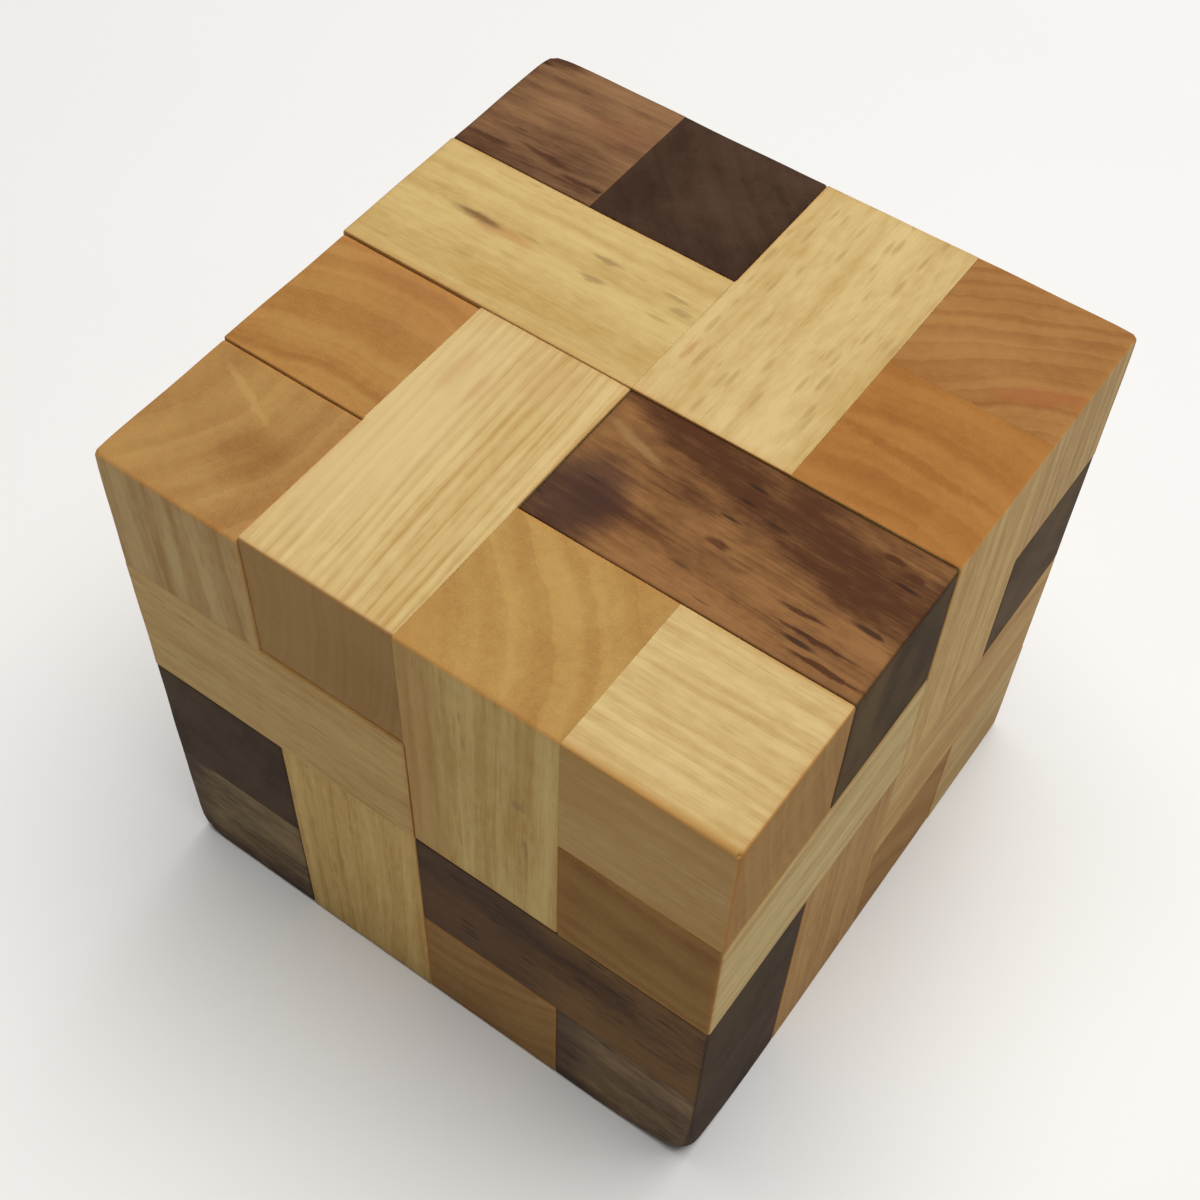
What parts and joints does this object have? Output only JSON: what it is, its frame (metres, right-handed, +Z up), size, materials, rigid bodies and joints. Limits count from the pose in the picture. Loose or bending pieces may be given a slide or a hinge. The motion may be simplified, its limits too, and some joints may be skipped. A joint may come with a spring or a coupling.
{
  "type": "interlocking cube puzzle",
  "caption": "Wooden interlocking cube puzzle of pale and brown glued blocks, whose pieces slide apart one after another along the cube's axes.",
  "frame": {"origin": "centre of the closed cube's bottom face, on the surface it stands on", "axes": "+Z up, -Y towards the front (one of the two upright faces in the picture), +X towards the right side (the other)"},
  "size_m": [0.072, 0.072, 0.072],
  "materials": {
    "pale_wood": "fine-sanded pale close-grained hardwood with a thin satin finish; long grain pale yellow, end grain orange-brown",
    "brown_wood": "fine-sanded open-pored brown hardwood with a thin satin finish; long grain mid-brown, end grain very dark"
  },
  "bodies": {
    "base_piece": {"back_bottom_stick": "pale_wood", "back_left_stick": "pale_wood", "bottom_back_stick": "pale_wood", "bottom_back_right_corner": "pale_wood", "bottom_back_left_corner": "pale_wood"},
    "right_piece": {"right_back_stick": "pale_wood", "right_bottom_stick": "pale_wood", "bottom_front_stick": "pale_wood", "bottom_right_stick": "pale_wood"},
    "front_piece": {"front_right_stick": "brown_wood", "left_front_stick": "brown_wood", "bottom_left_stick": "brown_wood", "bottom_front_left_corner": "brown_wood", "bottom_front_right_corner": "brown_wood", "bottom_front_left_core": "brown_wood", "bottom_front_right_core": "brown_wood", "bottom_back_right_core": "brown_wood"},
    "left_piece": {"front_left_stick": "pale_wood", "front_bottom_stick": "pale_wood", "left_bottom_stick": "pale_wood", "top_front_left_corner": "pale_wood", "top_front_left_core": "pale_wood", "bottom_back_left_core": "pale_wood", "top_back_left_core": "pale_wood"},
    "ring_piece": {"top_front_stick": "pale_wood", "front_top_stick": "pale_wood", "left_top_stick": "pale_wood", "left_back_stick": "pale_wood", "top_front_right_corner": "pale_wood"},
    "back_top_piece": {"top_right_stick": "brown_wood", "back_top_stick": "brown_wood", "back_right_stick": "brown_wood", "top_back_left_corner": "brown_wood", "top_front_right_core": "brown_wood", "top_back_right_core": "brown_wood"},
    "key_piece": {"top_left_stick": "pale_wood", "top_back_stick": "pale_wood", "right_front_stick": "pale_wood", "right_top_stick": "pale_wood", "top_back_right_corner": "pale_wood"}
  },
  "joints": [
    {"name": "right_piece_lift", "type": "slide", "parent": "base_piece", "child": "right_piece", "axis": [0, 0, 1], "range_m": [0, 0.036]},
    {"name": "front_piece_slide", "type": "slide", "parent": "right_piece", "child": "front_piece", "axis": [0, -1, 0], "range_m": [0, 0.072]},
    {"name": "left_piece_lift", "type": "slide", "parent": "front_piece", "child": "left_piece", "axis": [0, 0, 1], "range_m": [0, 0.036]},
    {"name": "ring_piece_lift", "type": "slide", "parent": "left_piece", "child": "ring_piece", "axis": [0, 0, 1], "range_m": [0, 0.036]},
    {"name": "back_top_piece_slide", "type": "slide", "parent": "ring_piece", "child": "back_top_piece", "axis": [0, 1, 0], "range_m": [0, 0.072]},
    {"name": "key_piece_slide", "type": "slide", "parent": "back_top_piece", "child": "key_piece", "axis": [1, 0, 0], "range_m": [0, 0.072]}
  ]
}
